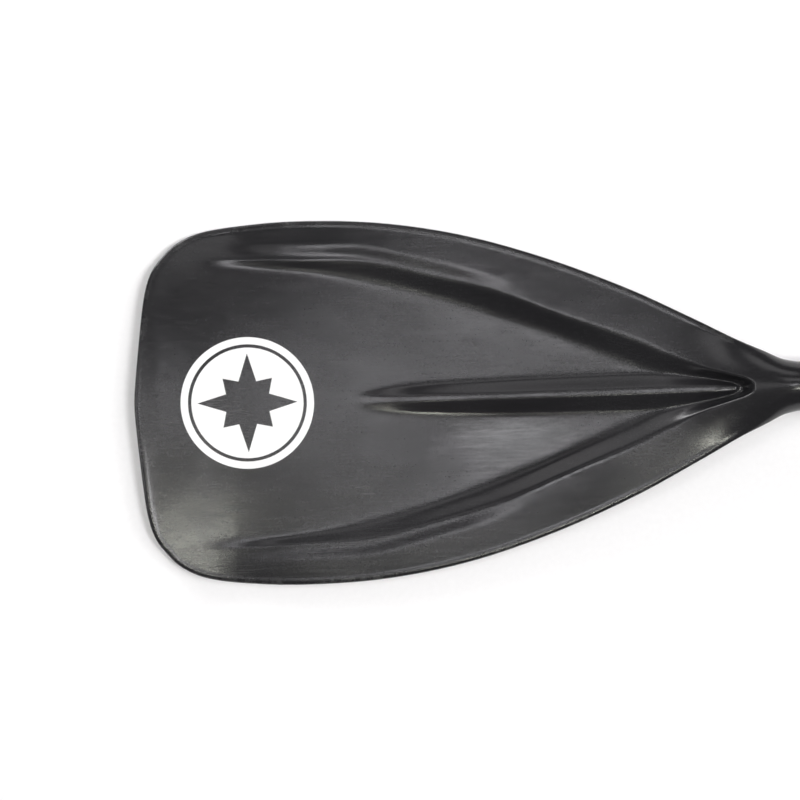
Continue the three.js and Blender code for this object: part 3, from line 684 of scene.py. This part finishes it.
def star_outline():
    """A plain eight-pointed compass star: four long points, four short ones."""
    points = []
    for i, radius in enumerate(STAR_RADII * 4):
        angle = i * math.pi / 8
        points.append((radius * math.cos(angle), radius * math.sin(angle)))
    return points


def circle_outline(radius, count=160):
    angles = np.linspace(0, 2 * math.pi, count, endpoint=False)
    return [(radius * math.cos(a), radius * math.sin(a)) for a in angles]


def filled_outlines(name, *outlines):
    """A flat mesh filled between closed outlines, in millimetres."""
    curve = bpy.data.curves.new(name, "CURVE")
    curve.dimensions = "2D"
    curve.fill_mode = "BOTH"
    for outline in outlines:
        spline = curve.splines.new("POLY")
        spline.points.add(len(outline) - 1)
        points = np.array([(x, y, 0, 1) for x, y in outline], float)
        spline.points.foreach_set("co", points.ravel())
        spline.use_cyclic_u = True
    holder = bpy.data.objects.new(name, curve)
    bpy.context.scene.collection.objects.link(holder)
    bpy.context.view_layer.update()
    mesh = bpy.data.meshes.new_from_object(holder)
    bpy.data.objects.remove(holder)
    return mesh


def badge(side):
    """A thin die-cut film that lies on the blade, which shows through its cuts."""
    rings = [circle_outline(radius) for radius in (BADGE_R, *BADGE_RING)]
    mesh = filled_outlines(f"{side}_badge_film", *rings, star_outline())
    bm = bmesh.new()
    bm.from_mesh(mesh)
    reach, step = 39, 3     # cut into small squares, so that it can follow the blade's curve
    for normal in (Vector((1, 0, 0)), Vector((0, 1, 0))):
        for at in range(-reach, reach + 1, step):
            geometry = bm.verts[:] + bm.edges[:] + bm.faces[:]
            bmesh.ops.bisect_plane(bm, geom=geometry, plane_co=normal * at, plane_no=normal)
    speck = 0.02    # millimetres
    bmesh.ops.remove_doubles(bm, verts=bm.verts, dist=speck)
    bmesh.ops.recalc_face_normals(bm, faces=bm.faces)
    bm.to_mesh(mesh)
    bm.free()
    flat = np.array([v.co for v in mesh.vertices])
    u, v = BADGE_U + flat[:, 0], flat[:, 1]
    lift = FILM_THICKNESS / MM
    points = np.stack([u, v, blade_section(u, v)[0] + lift], 1)
    for vertex, co in zip(mesh.vertices, to_world(points, side)):
        vertex.co = co
    made = bpy.data.objects.new(f"{side}_badge_film", mesh)
    bpy.context.scene.collection.objects.link(made)
    thick = made.modifiers.new("thickness", "SOLIDIFY")
    thick.thickness = FILM_THICKNESS
    thick.offset = 0
    stand_in(made, f"{side}_half", "badge_film", FILM, f"{side}_badge")


def grip(side):
    """Ribbed rubber sleeve with tapered ends, following the CAD sleeve's box."""
    low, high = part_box(f"{side}_grip_sleeve")
    outer = (high.y - low.y) / 2
    inner = TUBE_R + 0.3 * MM
    lead = 4 * MM
    grooves = 30
    pitch = (high.x - low.x - 4 * lead) / grooves
    # each groove as (share of its pitch, depth in millimetres), and each end as (radius, x)
    groove = ((0.1, 0), (0.2, 0.45), (0.35, 0.6), (0.5, 0.45), (0.6, 0))
    end = [(inner, 0), (inner + 1.0 * MM, 0), (outer - 0.4 * MM, 0.8 * lead), (outer, 1.3 * lead)]
    profile = [(radius, low.x + x) for radius, x in end]
    for i in range(grooves):
        start = low.x + 2 * lead + i * pitch
        for share, depth in groove:
            profile.append((outer - depth * MM, start + share * pitch))
    profile += [(radius, high.x - x) for radius, x in reversed(end)]
    profile.append((inner, low.x))
    made = turned_along_x(f"{side}_grip", profile, centre=(0, AXIS_Z))
    stand_in(made, f"{side}_half", "rubber", RUBBER, f"{side}_grip_sleeve")


def foam_plug(side):
    """A cut foam plug, slightly crowned between its ends."""
    low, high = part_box(f"{side}_foam_plug")
    radius = (high.y - low.y) / 2
    end = [(0, 0), (radius * 0.8, 0), (radius * 0.97, 1.2 * MM)]
    profile = [(r, low.x + x) for r, x in end]
    for share in np.linspace(0.05, 0.95, 12):
        crowned = radius * (0.975 + 0.025 * math.sin(math.pi * share))
        profile.append((crowned, low.x + share * (high.x - low.x)))
    profile += [(r, high.x - x) for r, x in reversed(end)]
    made = turned_along_x(f"{side}_foam", profile, (0, AXIS_Z), sides=64)
    stand_in(made, f"{side}_half", "foam", FOAM, f"{side}_foam_plug")


def leaf_spring(side):
    """The button's folded spring, a fixed copy of its CAD node; the real spring's legs close up as the
    button is pressed.
    """
    name = f"{side}_button_spring"
    made = bpy.data.objects.new(f"{side}_leaf_spring", nodes[name].data.copy())
    bpy.context.scene.collection.objects.link(made)
    finish(made, STEEL, SMALL_BEVEL)
    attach(made, f"{side}_half")
    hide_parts(name)
    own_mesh(made)


def marks(name, body, radius, from_x, to_x, degrees, width):
    """Thin printed bars on a round part, side by side round it at the given angles from its top."""
    vertices, faces = [], []
    steps = 4
    for middle in degrees:
        start = len(vertices)
        for i in range(steps + 1):
            angle = math.radians(middle) + width / radius * (i / steps - 0.5)
            for r in (radius, radius + FILM_THICKNESS):
                for x in (from_x, to_x):
                    vertices.append((x, r * math.sin(angle), AXIS_Z + r * math.cos(angle)))
        for i in range(steps):
            a = start + 4 * i
            faces += [
                (a, a + 1, a + 5, a + 4), (a + 2, a + 6, a + 7, a + 3),
                (a, a + 4, a + 6, a + 2), (a + 1, a + 3, a + 7, a + 5),
            ]
        end = start + 4 * steps
        faces += [(start, start + 2, start + 3, start + 1), (end, end + 1, end + 3, end + 2)]
    made = new_object(name, vertices, faces)
    made.data.materials.append(FILM)
    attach(made, body)


for side in SIDES:
    blade(side)
    badge(side)
    grip(side)
    foam_plug(side)
    leaf_spring(side)
    finish(nodes[f"{side}_o_ring"], RUBBER, SMALL_BEVEL)
    finish(nodes[f"{side}_button"], STEEL)
    finish(nodes[f"{side}_shaft_tube"], TUBE, SMALL_BEVEL)
    finish(nodes[f"{side}_drip_ring"], RUBBER)

for name in ("clamp_collar", "thumb_nut", "cam_lever", "feather_ring", "ferrule_end_bush"):
    finish(nodes[name], NYLON)
for name in ("clamp_bolt", "cam_washer", "lever_barrel", "ferrule_rivet_1", "ferrule_rivet_2"):
    finish(nodes[name], STEEL, 0.15 * MM)
finish(nodes["ferrule_tube"], INNER_TUBE, SMALL_BEVEL)


# The printed angle scale on the collar, beside the feather ring, with a longer bar every 45 degrees
ring_low, ring_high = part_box("feather_ring")
SCALE_R = (ring_high.y - ring_low.y) / 2 - 0.02 * MM
SCALE_END = ring_low.x - 2.5 * MM
half_turn = range(-90, 91, 15)
marks("feather_scale", "left_half", SCALE_R, SCALE_END - 3 * MM, SCALE_END,
      [d for d in half_turn if d % 45], 0.7 * MM)
marks("feather_scale_main", "left_half", SCALE_R, SCALE_END - 4.5 * MM, SCALE_END,
      [d for d in half_turn if d % 45 == 0], 1.0 * MM)


# ---------------------------------------------------------------- studio

def floor():
    """The studio floor, a hair below the paddle."""
    size, gap = 12, 0.3 * MM
    corners = [(-size, -size, 0), (size, -size, 0), (size, size, 0), (-size, size, 0)]
    mesh = bpy.data.meshes.new("floor")
    mesh.from_pydata(corners, [], [(0, 1, 2, 3)])
    made = bpy.data.objects.new("floor", mesh)
    made.data.materials.append(studio_floor())
    made.location.z = -gap
    bpy.context.scene.collection.objects.link(made)


def panel_light(name, place, target, size, watts, colour):
    """A soft box at a place, aimed at a target."""
    data = bpy.data.lights.new(name, "AREA")
    data.shape = "RECTANGLE"
    data.size, data.size_y = size
    data.energy = watts
    data.color = colour
    light = bpy.data.objects.new(name, data)
    light.location = place
    light.rotation_euler = (Vector(target) - Vector(place)).to_track_quat("-Z", "Y").to_euler()
    bpy.context.scene.collection.objects.link(light)


def surroundings():
    """Pale at the horizon, dimmer above it, so that the dark plastic keeps its contrast."""
    world = bpy.data.worlds.new("studio")
    bpy.context.scene.world = world
    world.use_nodes = True
    tree = world.node_tree
    coordinates = tree.nodes.new("ShaderNodeTexCoord")
    split = tree.nodes.new("ShaderNodeSeparateXYZ")
    tree.links.new(coordinates.outputs["Generated"], split.inputs["Vector"])
    stops = [(0.0, 0.9), (0.06, 0.85), (0.16, 0.12), (1.0, 0.12)]
    shade = ramp(tree, split.outputs["Z"], stops)
    tree.links.new(shade, tree.nodes["Background"].inputs["Color"])


def camera():
    """Above the left blade, leaning a little to its near side, as the blade is best seen."""
    distance = 1.0
    lean = math.radians(4.0)
    roll = math.radians(1.53)
    seen_u, seen_y, seen_z = 159.7 * MM, -1.0 * MM, 10 * MM
    target = Vector((tip_x["left"] + seen_u, seen_y, seen_z))
    back = Vector((0, -math.sin(lean), math.cos(lean)))
    data = bpy.data.cameras.new("camera")
    data.sensor_width = 36
    data.lens = 74.5
    data.clip_start, data.clip_end = 0.01, 100
    made = bpy.data.objects.new("camera", data)
    made.location = target + back * distance
    made.rotation_mode = "QUATERNION"
    aim = (-back).to_track_quat("-Z", "Y")
    made.rotation_quaternion = aim @ Matrix.Rotation(-roll, 3, "Z").to_quaternion()
    bpy.context.scene.collection.objects.link(made)
    bpy.context.scene.camera = made


floor()
surroundings()

# Soft boxes: name, place from the left blade's middle, size, watts and colour. The blade is nearly
# flat and satin, so each box brightens only the parts whose slope mirrors it to the camera.
BLADE_MIDDLE = 0.21
blade_x = tip_x["left"] + BLADE_MIDDLE
WHITE = (1, 0.985, 1)
SOFTBOXES = [
    ("key", (0.78, -0.2, 2.0), (0.5, 0.5), 23.0, WHITE),
    ("far_low", (-1.2, 1.85, 0.7), (1.2, 0.45), 26.0, WHITE),
    ("tip_side", (-1.6, 0.0, 1.6), (0.9, 0.9), 9.0, WHITE),
    ("shaft_side", (1.6, 0.0, 1.6), (0.9, 0.9), 4.5, WHITE),
    ("other_blade", (2.0, 0.4, 2.2), (1.0, 1.0), 16.0, WHITE),
    ("far_side", (-0.3, 1.8, 1.4), (1.2, 0.6), 2.6, WHITE),
    ("far_high", (0.0, 0.9, 2.0), (0.8, 0.4), 1.5, WHITE),
    ("tip_high", (-0.75, 0.2, 2.0), (0.5, 0.7), 1.0, WHITE),
    ("lamp", (-0.08, 0.14, 2.0), (0.3, 0.12), 1.6, (0.97, 0.96, 1)),
    ("corner", (0.125, -0.44, 2.0), (0.12, 0.2), 4.0, (0.99, 1.0, 0.88)),
]
for name, (x, y, z), size, watts, colour in SOFTBOXES:
    panel_light(name, (blade_x + x, y, z), (blade_x, 0, 0), size, watts, colour)
camera()
bpy.context.scene.view_settings.view_transform = "Standard"
